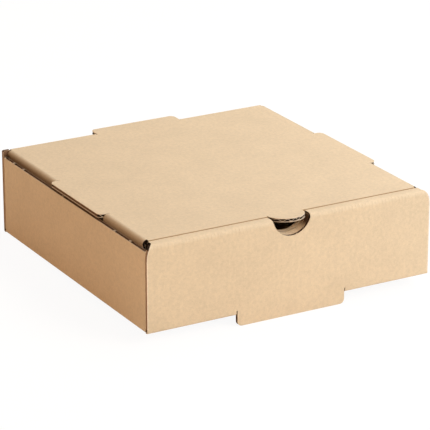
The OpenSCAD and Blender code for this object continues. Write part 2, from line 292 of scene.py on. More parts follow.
def finish_piece(bm, name, body, place=None, ride=True):
    """Places the mesh, turns its faces outwards and makes the piece."""
    if place is not None:
        bmesh.ops.transform(bm, matrix=place, verts=bm.verts)
    bmesh.ops.recalc_face_normals(bm, faces=bm.faces)
    for edge in bm.edges:
        edge.smooth = edge.calc_face_angle(math.pi) < sharp_angle
    mesh = bpy.data.meshes.new(name)
    bm.to_mesh(mesh)
    bm.free()
    piece = bpy.data.objects.new(name, mesh)
    bpy.context.scene.collection.objects.link(piece)
    if ride:
        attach(piece, body)
    made_pieces.append(piece)
    print(name, len(mesh.polygons), "faces")
    return piece


# %% A whole panel
def panel(name, body, outline, place, through, flutes=None, channels=()):
    """A whole sandwich. flutes are the (start, end, through) runs of the medium, and
    channels the edges along the flutes where it lies bare."""
    bm = bmesh.new()
    add_liner(bm, outline, 0, liner)
    add_liner(bm, outline, board - liner, board)
    low = min(p.x for p in outline) + edge_inset
    high = max(p.x for p in outline) - edge_inset
    for run in flutes or [(low, high, through)]:
        add_medium(bm, outline, *run)
    for channel in channels:
        add_channel(bm, *channel)
    return finish_piece(bm, name, body, place)


# %% [markdown]
# ## Folds
# Along a crease the board is crushed, and its outer liner runs on in a round while
# the inner one pinches. A bevel would round a whole block instead, so a fold is a few
# strips. Each follows a path in section, and the strips run along the fold. Where they
# end in a deep gap, their cut ends get a very dark finish as painted shade.


# %% Strips of a fold
def add_strip(bm, path, reach, thick, axes, across_flutes=True, columns=2, puckers=None,
              index=LINER, rim=RIM):
    """A sheet whose outer side follows the path in section, outwards on the path's left.
    It runs from reach(point)[0] to reach(point)[1] along the fold."""
    uv = bm.loops.layers.uv.verify()
    rows = len(path) - 1
    lengths = [0.0]
    for a, b in zip(path, path[1:]):
        lengths.append(lengths[-1] + (b - a).length)
    old = set(bm.verts)
    grid = bmesh.ops.create_grid(bm, x_segments=columns, y_segments=rows, size=0.5)["verts"]
    flat = {}
    for v in grid:
        share = v.co.x + 0.5
        k = round((v.co.y + 0.5) * rows)
        p = path[k]
        heading = (path[min(k + 1, rows)] - path[max(k - 1, 0)]).normalized()
        start, end = reach(p)
        run = start + share * (end - start)
        if puckers:
            p = p + Vector((-heading.y, heading.x)) * puckers(run, lengths[k])
        v.co = (run, p.x, p.y)
        flat[v] = (run, lengths[k]) if across_flutes else (lengths[k], run)
    outside = {f for v in grid for f in v.link_faces}
    for f in outside:
        f.normal_update()
        for loop in f.loops:
            loop[uv].uv = flat[loop.vert]
    faces, edges = thicken(bm, grid, thick)
    for f in faces | edges:
        f.smooth = True
        f.material_index = rim if f in edges else index if f in outside else CORE
    bmesh.ops.transform(bm, matrix=axes, verts=[v for v in bm.verts if v not in old])


# %% Ends and directions
def paint_shade_on_ends(bm, beyond):
    """Gives the cut ends of the strips that lie farther out than beyond the dark inside
    finish, as painted shade.
    """
    for f in bm.faces:
        if f.material_index in (RIM, TORN) and abs(f.calc_center_median().x) > beyond:
            f.material_index = CORE


def along(run_axis):
    """Matrix from (along the fold, first, second of the section) to the frame."""
    rows = {
        "x": ((1, 0, 0), (0, 1, 0), (0, 0, 1)),
        "y": ((0, 1, 0), (1, 0, 0), (0, 0, 1)),
        "z": ((0, 1, 0), (0, 0, 1), (1, 0, 0)),
    }
    return Matrix(rows[run_axis]).to_4x4()


def from_to(start, end):
    """The same reach at every point of a path."""
    return lambda p: (start, end)


def shifted(path, depth):
    """The path moved to its right by depth, into the board."""
    moved = []
    for k, p in enumerate(path):
        heading = (path[min(k + 1, len(path) - 1)] - path[max(k - 1, 0)]).normalized()
        moved.append(p + Vector((heading.y, -heading.x)) * depth)
    return moved


# %% [markdown]
# ## The base
# The base is the flat floor of the box. The slot at its front is where the foot tab
# was cut out, and it now takes the lock tab of the inner panel. A boolean could cut it
# later. Drawn into the outline it leaves a clean mesh, and the flutes stop at its edge.

# %% Base
base_corner = board
base_x = half_w - base_corner
base_front = front_y + base_corner
base_back = back_y - base_corner
lock_back_gap = 0.0004
slot_back = inner_face + lock_back_gap
base_outline = rounded([
    (-base_x, base_front, 0), (-foot_slot_half, base_front, 0),
    (-foot_slot_half, slot_back, 0), (foot_slot_half, slot_back, 0),
    (foot_slot_half, base_front, 0), (base_x, base_front, 0),
    (base_x, base_back, 0), (-base_x, base_back, 0),
])
panel("base", "tray", base_outline, None, 0.0)

# %% [markdown]
# ## The front wall
# Seen from the front it is square below and round at the shoulders, with the thumb
# notch at the top and the foot tab below. The outer liner stops short of the top,
# where the rolled skin takes over. A pale strip along its two side edges is a painted
# highlight. Two planes split the liner there, so that only the narrow strips outside
# them get the pale finish.


# %% Front wall outline
foot_r = 0.004
foot_relief = 0.0036
shoulder_steps = 8
notch_steps = 24


def shoulder_x(z):
    """Half width of the front wall at a height."""
    share = max(0.0, z - (top_z - shoulder_drop)) / shoulder_drop
    return strip_half + shoulder_in * math.sqrt(max(0.0, 1 - share**2))


def notch_x(z):
    """Half width of the thumb notch at a height."""
    return math.sqrt(max(0.0, notch_r**2 - (notch_z - z) ** 2))


def notched_top(top, half):
    """The top edge from right to left, with the notch in it."""
    n = notch_x(top)
    cut = math.degrees(math.asin(n / notch_r))
    dip = arc((0, notch_z), notch_r, -90 + cut, -90 - cut, notch_steps)
    return [Vector((half, top)), *dip, Vector((-half, top))]


def front_outline(top):
    """The front wall and its foot tab, up to a height."""
    foot = rounded([
        (-half_w, base_corner, 0), (-foot_slot_half, base_corner, 0),
        (-foot_slot_half, foot_relief, 0), (-foot_half, foot_relief, 0),
        (-foot_half, foot_z, foot_r), (foot_half, foot_z, foot_r),
        (foot_half, foot_relief, 0), (foot_slot_half, foot_relief, 0),
        (foot_slot_half, base_corner, 0), (half_w, base_corner, 0),
    ])
    start = min(top, top_z - shoulder_drop)
    right = []
    if top > start:
        rises = [math.sin(math.pi / 2 * k / shoulder_steps) for k in range(shoulder_steps)]
        heights = [start + (top - start) * rise for rise in rises]
        right = [Vector((shoulder_x(z), z)) for z in heights]
    left = [Vector((-p.x, p.y)) for p in reversed(right)]
    return foot + right + notched_top(top, shoulder_x(top)) + left


# %% Front wall
skin_start = 0.060
roll_start = top_z - roll_r
mid_wall = 0.03
painted_highlight_border = 0.0010
end_hollow = 0.0005
front_place = Matrix(((1, 0, 0, 0), (0, 0, 1, front_y), (0, 1, 0, 0), (0, 0, 0, 1)))
bm = bmesh.new()
add_liner(bm, front_outline(skin_start), 0, liner)
for side in (1, -1):
    border = (side * (half_w - painted_highlight_border), 0, 0)
    everything = [*bm.verts, *bm.edges, *bm.faces]
    bmesh.ops.bisect_plane(bm, geom=everything, plane_co=border, plane_no=(1, 0, 0))
# The narrow strips along both side edges get the pale edge finish as a painted highlight.
for f in bm.faces:
    if abs(f.calc_center_median().x) > half_w - painted_highlight_border:
        f.material_index = RIM
add_liner(bm, front_outline(roll_start), board - liner, board)
medium_half = half_w - edge_inset
add_medium(bm, front_outline(roll_start), -medium_half, medium_half, mid_wall)
heights = [base_corner + (roll_start - base_corner) * k / 50 for k in range(51)]
for side in (1, -1):
    near, far = [[Vector((side * (shoulder_x(z) - hair), z, depth)) for z in heights]
                 for depth in (liner, board - liner)]
    add_torn(bm, near, far, (-side, 0, 0), end_hollow)
finish_piece(bm, "front_wall", "tray", front_place)

# %% [markdown]
# ## The front roll
# The wall turns in over two more layers in one soft round. The scored liner buckles
# there beside each flute, which leaves a row of small puckers just under the lid. Bump
# alone wouldn't move the surface, so the skin is one finely divided strip whose points
# a wave and some noise lift.


# %% Puckers
pucker_middle = roll_start - skin_start + 0.0028
pucker_width = 0.0026
pucker_height = 0.0004
smooth_half = 0.026
smooth_fade = 0.020


def pucker(run, length):
    """Height of the puckers, by the place across and the length from the skin's start.
    They fade out beside the notch, where the crushed layers hold the skin flat."""
    band = math.exp(-(((length - pucker_middle) / pucker_width) ** 2))
    strength = 0.6 + 0.5 * noise.noise(Vector((run * 90, length * 300, 3.1)))
    strength *= min(1.0, max(0.0, (abs(run) - smooth_half) / smooth_fade))
    ridge = max(0.0, math.cos(4 * math.pi * run / flute_pitch)) ** 3
    return band * strength * pucker_height * (ridge - 0.2)


def roll_reach(side):
    """From the notch to the round shoulder on one side of the box."""
    def reach(p):
        outer = shoulder_x(p.y) if p.x < front_y + roll_r else strip_half
        return (notch_x(p.y), outer) if side > 0 else (-outer, -notch_x(p.y))
    return reach


def rise(y, start, end, steps=8):
    """Upright part of a path, at one depth of the box."""
    return [Vector((y, start + (end - start) * k / steps)) for k in range(steps + 1)]


# %% Sections of the roll
roll_path = (
    rise(front_y, skin_start, roll_start)
    + arc((front_y + roll_r, roll_start), roll_r, 180, 90, 12)[1:]
    + arc((inner_face - seam_r, top_z - seam_r), seam_r, 90, 0, 6)
    + rise(inner_face, top_z - seam_r, skin_start)[1:]
)
inner_r = roll_r - board
hidden_y = inner_face - board
lining_path = arc((front_y + roll_r, roll_start), inner_r, 180, 90, 6) + [
    Vector((hidden_y, roll_start + inner_r))
]
core_path = (
    arc((front_y + roll_r, roll_start), roll_r - board / 2, 180, 90, 8)
    + arc((hidden_y, lid_under), board / 2, 90, 0, 5)
)
skin_end = arc((front_y + roll_r, roll_start), roll_r - liner, 180, 90, 12)
lining_end = arc((front_y + roll_r, roll_start), inner_r + liner, 180, 90, 12)
top_line = [front_y + roll_r + (hidden_y - front_y - roll_r) * k / 4 for k in range(5)]
print(f"the roll is {roll_depth * 1000:.1f} mm deep, over three layers of board")

# %% Front roll
roll_hollow = 0.0004
weld = 0.000002
bm = bmesh.new()
for side in (1, -1):
    reach = roll_reach(side)
    add_strip(bm, roll_path, reach, liner, along("x"), columns=400, puckers=pucker)
    add_strip(bm, lining_path, reach, -liner, along("x"), rim=CORE)
    add_strip(bm, core_path, reach, medium_sheet, along("x"), index=CORE, rim=CORE)
    near, far = [[Vector((side * (shoulder_x(p.y) - hair), p.x, p.y)) for p in line]
                 for line in (skin_end, lining_end)]
    add_torn(bm, near, far, (-side, 0, 0), roll_hollow)
    near, far = [[Vector((side * (strip_half - hair), y, z)) for y in top_line]
                 for z in (top_z - liner, lid_under + liner)]
    add_torn(bm, near, far, (-side, 0, 0), roll_hollow)
bmesh.ops.remove_doubles(bm, verts=bm.verts, dist=weld)
# The cut ends at the shoulders get the very dark inside finish as painted shade.
paint_shade_on_ends(bm, notch_r * 2)
# Beside the shoulders the front of the roll gets the same painted highlight.
for f in bm.faces:
    middle = f.calc_center_median()
    if f.normal.y < -0.7 and abs(middle.x) > shoulder_x(middle.z) - painted_highlight_border:
        f.material_index = RIM
finish_piece(bm, "front_roll", "tray")

# %% [markdown]
# The cutting rule has crushed the three layers together round the thumb notch, behind
# the front wall, so that they show there as one smooth band. Its finish is pale, as
# painted light, and turns dark brown towards the top, as painted shade. One thin curved
# sheet over their cut edges is enough, because the layers can't be told apart any more.

# %% Notch band
band_top = top_z - 0.001
band_proud = 0.00006
band_steps = 40
band_turn = math.degrees(math.asin((notch_z - band_top) / notch_r))
band_arc = arc((0, notch_z), notch_r - band_proud, -band_turn, -180 + band_turn, band_steps)
bm = bmesh.new()
near, far = [[Vector((p.x, y, p.y)) for p in band_arc]
             for y in (front_y + board - liner, inner_face - hair)]
add_torn(bm, near, far, (0, 0, -1), hair, RIM)
finish_piece(bm, "notch_band", "tray")

# %% [markdown]
# ## The inner panel
# The innermost layer of the roll hangs inside the box, and its lock tab stands in the
# slot of the base. It is made step by step and not by `panel`, because its liners end
# at two heights: the hidden one reaches up to the crease.

# %% Inner panel
panel_foot = board + gap
lock_half = foot_half - 0.0025
lock_r = 0.0015
lock_points = [(-strip_half, panel_foot, 0), (-lock_half, panel_foot, 0),
               (-lock_half, gap, lock_r), (lock_half, gap, lock_r),
               (lock_half, panel_foot, 0), (strip_half, panel_foot, 0)]


def inner_outline(top):
    """The inner panel and its lock tab, up to a height."""
    return rounded(lock_points) + notched_top(top, strip_half)


inner_place = Matrix(((1, 0, 0, 0), (0, 0, -1, inner_face), (0, 1, 0, 0), (0, 0, 0, 1)))
bm = bmesh.new()
add_liner(bm, inner_outline(skin_start), 0, liner)
add_liner(bm, inner_outline(lid_under), board - liner, board)
medium_half = strip_half - edge_inset
add_medium(bm, inner_outline(lid_under), -medium_half, medium_half, mid_wall)
for side in (1, -1):
    add_channel(bm, side * (strip_half - hair), panel_foot, lid_under, end_hollow, -side)
finish_piece(bm, "inner_panel", "tray", inner_place)

# %% [markdown]
# ## The side walls and their corner flaps
# The flutes lie level in the side walls, so the raw top edge runs along them and shows
# a long channel between the liners. The ends of each wall turn in behind the front and
# back walls. One drawing serves for both sides, and a mirror puts it on the right.

# %% Wall and flap outlines
side_end = -(front_y + board + gap + board)
wall_outline = rounded([(base_corner, -side_end, 0), (side_top, -side_end, 0),
                        (side_top, side_end, 0), (base_corner, side_end, 0)])
corner_y = side_end + board
corner_length = 0.060
corner_slant = 0.006
flap_end = -half_w + corner_length
flap_foot = board + gap
flap_outline = rounded([
    (flap_foot, -base_x, 0), (flap_foot + corner_slant, flap_end, 0),
    (side_top - corner_slant, flap_end, 0), (side_top, -base_x, 0),
])
print(f"side walls {2 * side_end:.4f} long between their folds and {side_top:.4f} high")

# %% Places and folds of the walls
mirror_x = Matrix.Scale(-1, 4, (1, 0, 0))
mirror_y = Matrix.Scale(-1, 4, (0, 1, 0))
wall_place = Matrix(((0, 0, 1, -half_w), (0, 1, 0, 0), (1, 0, 0, 0), (0, 0, 0, 1)))
corner_place = Matrix(((0, 1, 0, 0), (0, 0, 1, -corner_y), (1, 0, 0, 0), (0, 0, 0, 1)))
base_fold_path = (
    [Vector((-base_x, 0))]
    + arc((-half_w + base_fold_r, base_fold_r), base_fold_r, 270, 180, 8)
    + [Vector((-half_w, base_corner))]
)
corner_path = (
    [Vector((-half_w, -side_end))]
    + arc((-half_w + crease_r, -corner_y + crease_r), crease_r, 180, 270, 6)
    + [Vector((-base_x, -corner_y))]
)


def add_fold(bm, path, reach, axes, across_flutes, outward, core_depth=fold_core_depth):
    """The outer skin of a fold with the crushed medium under it."""
    add_strip(bm, path, reach, outward * liner, axes, across_flutes)
    core = shifted(path, outward * core_depth)
    add_strip(bm, core, reach, outward * medium_sheet, axes, across_flutes, index=CORE)


# %% Nicks
nicks = (0.108, 0.090, 0.016, -0.075, -0.101)
nick_half = 0.0016
nick_skew = 0.0005
nick_height = 0.0004


def add_nick(bm, middle):
    """A torn bit of liner across the top edge, where the blank was held in its sheet."""
    line = [middle + nick_half * k / 3 for k in range(-3, 4)]
    near = [Vector((side_top, v, liner * 0.4)) for v in line]
    far = [Vector((side_top, v + nick_skew, board - liner * 0.6)) for v in line]
    add_torn(bm, near, far, (1, 0, 0), nick_height, RIM)


# %% Side walls
wall_hollow = 0.0018
medium_top = side_top - 0.0024
for side, turn in (("left", Matrix.Identity(4)), ("right", mirror_x)):
    bm = bmesh.new()
    add_liner(bm, wall_outline, 0, liner)
    add_liner(bm, wall_outline, board - liner, board)
    add_medium(bm, wall_outline, base_corner, medium_top, 0.0)
    add_channel(bm, side_top - hair, -side_end, side_end, wall_hollow, -1)
    for middle in nicks:
        add_nick(bm, middle)
    bmesh.ops.transform(bm, matrix=wall_place, verts=bm.verts)
    add_fold(bm, base_fold_path, from_to(-corner_y, corner_y), along("y"), False, 1)
    finish_piece(bm, side + "_wall", "tray", turn)
    for end, flip in (("front", Matrix.Identity(4)), ("back", mirror_y)):
        bm = bmesh.new()
        add_liner(bm, flap_outline, 0, liner)
        add_liner(bm, flap_outline, board - liner, board)
        medium_run = (flap_foot + edge_inset, side_top - edge_inset)
        add_medium(bm, flap_outline, *medium_run, -base_x + kerf)
        bmesh.ops.transform(bm, matrix=corner_place, verts=bm.verts)
        add_fold(bm, corner_path, from_to(flap_foot, side_top), along("z"), True, -1)
        finish_piece(bm, f"{side}_{end}_corner_flap", "tray", turn @ flip)

# %% [markdown]
# ## The back wall
# It ends in the hinge fold, with an ear beside it on the left and a low shoulder on the
# right. The slot in the middle is where the back tab of the lid was cut out. As its two
# sides differ, the outline is written out all round.

# %% Back wall
ear_gap = 0.0008
ear = half_w - lid_half - ear_gap
right_ear = side_top + 0.0007
slot_half = back_tab_half + kerf
slot_floor = hinge_z - (back_tab_end - hinge_y) - kerf
back_outline = rounded([
    (-half_w, base_corner, 0), (half_w, base_corner, 0), (half_w, right_ear, crease_r),
    (half_w - ear, right_ear, 0), (half_w - ear, back_top, 0), (slot_half, back_top, 0),
    (slot_half, slot_floor, tab_r), (-slot_half, slot_floor, tab_r),
    (-slot_half, back_top, 0), (-half_w + ear, back_top, 0),
    (-half_w + ear, top_z, crease_r), (-half_w, top_z, crease_r),
])
back_place = Matrix(((1, 0, 0, 0), (0, 0, -1, back_y), (0, 1, 0, 0), (0, 0, 0, 1)))
back_ends = (
    (half_w - hair, base_corner, right_ear - crease_r, end_hollow, -1),
    (-half_w + hair, base_corner, top_z - crease_r, end_hollow, 1),
)
back_wall = panel("back_wall", "tray", back_outline, back_place, mid_wall, channels=back_ends)
# The cut edges of the left ear get the dark raw-end finish as painted shade.
for face in back_wall.data.polygons:
    on_left_ear = face.center.x < ear - half_w and face.center.z > side_top
    if on_left_ear and face.material_index == RIM:
        face.material_index = TORN

# %% [markdown]
# The inner side of the left ear is painted dark brown as shade. One thin uneven sheet
# just in front of the ear carries that colour, because a colour alone would stay flat.

# %% Painted shade on the ear
ear_from, ear_to = -half_w + 2 * hair, -half_w + ear - hair
ear_line = [ear_from + (ear_to - ear_from) * k / 8 for k in range(9)]
ear_face = back_y - board - 0.00003
ear_rough = 0.00015
bm = bmesh.new()
near, far = [[Vector((x, ear_face, z)) for x in ear_line]
             for z in (side_top - 0.0015, top_z - 2 * hair)]
add_torn(bm, near, far, (0, -1, 0), ear_rough, CORE)
finish_piece(bm, "ear_painted_shade", "tray")

# %% [markdown]
# Two folds join the base to the front and back walls. The front one stops at each side
# of the foot tab. The back one is the same fold, mirrored and run through.

# %% Folds along the base
front_fold_path = (
    [Vector((base_front, 0))]
    + arc((front_y + base_fold_r, base_fold_r), base_fold_r, 270, 180, 8)
    + [Vector((front_y, base_corner))]
)
bm = bmesh.new()
for start, end in ((-half_w, -foot_slot_half), (foot_slot_half, half_w)):
    add_fold(bm, front_fold_path, from_to(start, end), along("x"), True, 1)
finish_piece(bm, "front_base_fold", "tray")
bm = bmesh.new()
add_fold(bm, front_fold_path, from_to(-half_w, half_w), along("x"), True, 1)
finish_piece(bm, "back_base_fold", "tray", mirror_y)

# %% [markdown]
# ## The lid
# One outline holds the flat of the lid with its side tabs and back tab, which stay in
# line with it where the folds beside them turn down. Tabs made apart would leave a seam
# across the board, and the real sheet has none.

# %% Lid panel
lid_start = lid_front + board
relief_depth = 0.0016
cut_in = lid_half - relief_depth
back_cut = hinge_y - relief_depth
right_side = [
    (lid_half, lid_start, 0), (lid_half, side_tab[0] - relief, 0),
    (cut_in, side_tab[0] - relief, 0), (cut_in, side_tab[0], 0),
    (half_w, side_tab[0], tab_r), (half_w, side_tab[1], tab_r),
    (cut_in, side_tab[1], 0), (cut_in, side_tab[1] + relief, 0),
    (lid_half, side_tab[1] + relief, 0), (lid_half, hinge_y, 0),
    (back_tab_half + relief, hinge_y, 0), (back_tab_half + relief, back_cut, 0),
    (back_tab_half, back_cut, 0), (back_tab_half, back_tab_end, tab_r),
]
left_side = [(-x, y, r) for x, y, r in reversed(right_side)]
neck = [(-thumb_r, lid_start, 0), (-thumb_r, thumb_y, 0), (thumb_r, thumb_y, 0),
        (thumb_r, lid_start, 0)]
lid_outline = rounded(neck + right_side + left_side)
lid_place = Matrix(((1, 0, 0, 0), (0, 1, 0, 0), (0, 0, -1, top_z), (0, 0, 0, 1)))
tab_hollow = 0.0012
tab_ends = (side_tab[0] + tab_r, side_tab[1] - tab_r)
tab_edges = [(side * (half_w - hair), *tab_ends, tab_hollow, -side) for side in (1, -1)]
medium_room = 0.0016
lid_run = (-half_w + medium_room, half_w - medium_room, side_tab_mid)
panel("lid_panel", "lid", lid_outline, lid_place, 0, [lid_run], tab_edges)

# %% [markdown]
# The half-moon thumb tab was cut out of the tuck flap. It stays in line with the lid,
# and fingers have bent it up a little. It is a piece of its own, so that one matrix can
# turn it about its straight edge.

# %% Thumb tab
moon = arc((0, 0), thumb_r, 180, 360, 32)
bm = bmesh.new()
add_liner(bm, moon, 0, liner)
add_liner(bm, moon, board - liner, board)
add_medium(bm, moon, -thumb_r + edge_inset, thumb_r - edge_inset, -hair)
lift = Matrix.Translation((0, thumb_y, lid_under)) @ Matrix.Rotation(-thumb_lift, 4, "X")
finish_piece(bm, "thumb_tab", "lid", lift)

# %% [markdown]
# ## The tuck flap
# It hangs from the crease at the front of the lid and leans in a little, so that it
# swings out past the roll. The thumb tab has left a round hole in its top, and the
# edge of that hole is crushed to a band like the one round the notch, with the same
# painted light and painted shade. The flap is drawn square and flat, and its matrix
# adds the lean.

# %% Tuck flap
top_edge = lid_under
hole_r = thumb_r + kerf
hole_z = top_z + thumb_back - lid_under
hole_half = math.sqrt(hole_r**2 - hole_z**2)
foot_shift = tuck_drop * flap_slant
hole_turn = math.degrees(math.asin(hole_half / hole_r))
tuck_outline = (
    rounded([(-tuck_half, 0, 0), (-tuck_half + foot_shift, -tuck_drop, flap_r),
             (tuck_half - foot_shift, -tuck_drop, flap_r), (tuck_half, 0, 0)])
    + arc((0, hole_z), hole_r, -90 + hole_turn, -90 - hole_turn, 20)
)
stand = Matrix(((1, 0, 0, 0), (0, 0, 1, 0), (0, 1, 0, 0), (0, 0, 0, 1)))
tuck_place = (
    Matrix.Translation((0, lid_front, top_edge)) @ Matrix.Rotation(tuck_lean, 4, "X") @ stand
)
tuck_runs = [
    (-tuck_half + edge_inset, -hole_r, -kerf),
    (-hole_r, hole_r, -tuck_drop * 0.7),
    (hole_r, tuck_half - edge_inset, -kerf),
]
panel("tuck_flap", "lid", tuck_outline, tuck_place, 0, tuck_runs)

# %% Tuck band
hole_arc = arc(
    (0, hole_z), hole_r - band_proud, -90 + hole_turn, -90 - hole_turn, band_steps)
bm = bmesh.new()
near, far = [[Vector((p.x, p.y, depth)) for p in hole_arc] for depth in (hair, board - hair)]
add_torn(bm, near, far, (0, -1, 0), hair, RIM)
finish_piece(bm, "tuck_band", "lid", tuck_place)

# %% [markdown]
# The crease between the lid and the tuck flap gets a brown band along its line as
# painted shade, and its ends, which lie in the dark gaps beside the side folds, are
# painted very dark as shade. It is made in two runs, because the thumb tab breaks it
# in the middle.

# %% Lid front crease
crease_overlap = 0.0008
lean = Vector((math.sin(tuck_lean), -math.cos(tuck_lean)))
crease_path = (
    [Vector((lid_front, top_edge)) + lean * crease_overlap, Vector((lid_front, top_edge))]
    + arc((lid_front + lid_seam_r, top_z - lid_seam_r), lid_seam_r, 180, 90, 6)
    + [Vector((lid_start, top_z))]
)
bm = bmesh.new()
for start, end in ((-lid_half, -hole_r), (hole_r, lid_half)):
    add_fold(bm, crease_path, from_to(start, end), along("x"), True, 1, lid_seam_r / 2)
# The ends of the crease get the very dark inside finish as painted shade.
paint_shade_on_ends(bm, lid_half - 0.001)
finish_piece(bm, "lid_front_crease", "lid")

# %% [markdown]
# ## The side folds and side flaps
# The lid's sides turn down in a wide soft round, and the flaps slip inside the walls.
# So wide a fold isn't crushed, so it gets strips for both liners and for the medium.
# The lower half of the round and the top of each flap are painted dark brown as shade.

# %% Side flap outline
hole = (side_tab[0] - kerf, side_tab[1] + kerf)
hole_drop = 0.00407
slant = side_drop * flap_slant
flap_top = top_z - lid_fold_r
side_outline = rounded([
    (0, side_flap[1], 0), (-side_drop, side_flap[1] - slant, flap_r),
    (-side_drop, side_flap[0] + slant, flap_r), (0, side_flap[0], 0),
    (0, hole[0], 0), (-hole_drop, hole[0], 0), (-hole_drop, hole[1], 0), (0, hole[1], 0),
])
side_place = Matrix(((0, 0, -1, flap_x), (0, 1, 0, 0), (1, 0, 0, flap_top), (0, 0, 0, 1)))
side_runs = [
    (-side_drop + medium_room, -hole_drop - edge_inset, side_tab_mid),
    (-hole_drop, 0, (side_flap[0] + hole[0]) / 2),
    (-hole_drop, 0, (side_flap[1] + hole[1]) / 2),
]
foot_in = slant + flap_r
foot_edge = (
    -side_drop + hair, side_flap[0] + foot_in, side_flap[1] - foot_in, tab_hollow, 1)
print(f"side flaps {side_flap[1] - side_flap[0]:.4f} long at their fold")

# %% Lid sides
outer_fold = arc((lid_half, flap_top), lid_fold_r, 90, 0, 10)
inner_fold = arc((lid_half, flap_top), lid_fold_r - board, 90, 0, 6)
for side, turn in (("right", Matrix.Identity(4)), ("left", mirror_x)):
    panel(side + "_flap", "lid", side_outline, turn @ side_place, 0, side_runs, [foot_edge])
    bm = bmesh.new()
    for start, end in ((side_flap[0], hole[0]), (hole[1], side_fold_end)):
        reach = from_to(start, end)
        add_strip(bm, outer_fold, reach, liner, along("y"), False, columns=12)
        add_strip(bm, inner_fold, reach, -liner, along("y"), False, columns=12, rim=CORE)
        add_strip(bm, shifted(outer_fold, board / 2), reach, medium_sheet, along("y"), False,
                  index=CORE, rim=CORE)
    # The cut ends of the fold get the very dark inside finish as painted shade.
    paint_shade_on_ends(bm, 0)
    finish_piece(bm, side + "_lid_fold", "lid", turn)

# %% [markdown]
# ## The hinge fold
# The lid turns on the top edge of the back wall. The liners bend there between the two
# bodies, so these strips are attached to neither body and stay where they are drawn.

# %% Hinge fold
hinge = (hinge_y, hinge_z)
outer_hinge = [Vector((back_y, back_top))] + arc(hinge, board / 2, 0, 90, 10)
bm = bmesh.new()
for start, end in ((-lid_half, -back_tab_half - relief), (back_tab_half + relief, lid_half)):
    add_strip(bm, outer_hinge, from_to(start, end), -liner, along("x"))
strip = finish_piece(bm, "hinge_fold", "tray", ride=False)
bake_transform(strip)

# %% [markdown]
# ## Materials
# Kraft liner is unbleached paper: short fibres, a soft mottle and the faint shadow of
# the flutes behind it. An image of paper would blur close up, so each of them is a
# noise or a wave, which a few helpers place in one node group. The fibres and the
# shadow of the flutes follow the flat UV map, so they turn with the board at its folds.


# %% Node helpers
def new_group(name, inputs, outputs):
    """A node group with (label, kind) sockets. Returns it with its two ends."""
    group = bpy.data.node_groups.new(name, "ShaderNodeTree")
    for way, sockets in (("INPUT", inputs), ("OUTPUT", outputs)):
        for label, kind in sockets:
            group.interface.new_socket(label, in_out=way, socket_type="NodeSocket" + kind)
    given = group.nodes.new("NodeGroupInput").outputs
    result = group.nodes.new("NodeGroupOutput").inputs
    return group, given, result


def math_node(group, kind, *values):
    """A Math node. Each value is a number or the output of another node."""
    node = group.nodes.new("ShaderNodeMath")
    node.operation = kind
    for socket, value in zip(node.inputs, values):
        if isinstance(value, (int, float)):
            socket.default_value = value
        else:
            group.links.new(value, socket)
    return node.outputs[0]


# %% Noise and ramps
def grain(group, scale, detail, source, stretch=(1, 1, 1)):
    """Noise about zero, with its coordinates stretched."""
    mapping = group.nodes.new("ShaderNodeMapping")
    mapping.inputs["Scale"].default_value = stretch
    group.links.new(source, mapping.inputs["Vector"])
    texture = group.nodes.new("ShaderNodeTexNoise")
    texture.inputs["Scale"].default_value = scale
    texture.inputs["Detail"].default_value = detail
    group.links.new(mapping.outputs[0], texture.inputs["Vector"])
    return math_node(group, "SUBTRACT", texture.outputs["Fac"], 0.5)


def ramp(group, source, start, end):
    """Rises softly from 0 to 1 as the source goes from start to end."""
    node = group.nodes.new("ShaderNodeMapRange")
    node.interpolation_type = "SMOOTHSTEP"
    group.links.new(start, node.inputs["From Min"])
    group.links.new(end, node.inputs["From Max"])
    group.links.new(source, node.inputs["Value"])
    return node.outputs[0]


# %% Grain of the paper
cloud_scale, cloud_share = 28, 0.25
mottle_scale, mottle_share = 420, 0.45
fibre_scale, fibre_share = 1300, 0.40
fibre_stretch = (0.6, 1, 1)
print_shade = 0.016

kraft, given, result = new_group(
    "kraft_paper",
    [("Paper", "Color"), ("Shade Colour", "Color"), ("Mottle", "Float"), ("Flute Print", "Float"),
     ("Shade Strength", "Float"), ("Band Top", "Float"), ("Band Middle", "Float"),
     ("Band Foot", "Float")],
    [("Color", "Color"), ("Roughness", "Float"), ("Height", "Float")],
)
where = kraft.nodes.new("ShaderNodeTexCoord").outputs
cloud = grain(kraft, cloud_scale, 3, where["Object"])
mottle = grain(kraft, mottle_scale, 4, where["Object"])
fibre = grain(kraft, fibre_scale, 3, where["UV"], fibre_stretch)
print("kraft group:", ", ".join(socket.name for socket in given if socket.name))

# %% [markdown]
# The flutes show through the liner as a faint wave, stronger in some places than in
# others. All the shades add up to one factor, by which the colour of the paper is
# scaled.

# %% Shade of the paper
split = kraft.nodes.new("ShaderNodeSeparateXYZ")
kraft.links.new(where["UV"], split.inputs[0])
turns = math_node(kraft, "MULTIPLY", split.outputs[0], 2 * math.pi / flute_pitch)
ridge = math_node(kraft, "COSINE", turns)
patchy = math_node(kraft, "MULTIPLY_ADD", cloud, 2.5, 0.5)
print_share = math_node(kraft, "MULTIPLY", ridge, given["Flute Print"])
print_share = math_node(kraft, "MULTIPLY", print_share, patchy)

shade = math_node(kraft, "MULTIPLY", mottle, mottle_share)
for noise_value, share in ((cloud, cloud_share), (fibre, fibre_share)):
    shade = math_node(kraft, "ADD", shade, math_node(kraft, "MULTIPLY", noise_value, share))
shade = math_node(kraft, "MULTIPLY", shade, given["Mottle"])
shade = math_node(kraft, "ADD", shade, math_node(kraft, "MULTIPLY", print_share, print_shade))
shade = math_node(kraft, "ADD", shade, 1.0)
tint = kraft.nodes.new("ShaderNodeVectorMath")
tint.operation = "SCALE"
kraft.links.new(given["Paper"], tint.inputs[0])
kraft.links.new(shade, tint.inputs["Scale"])
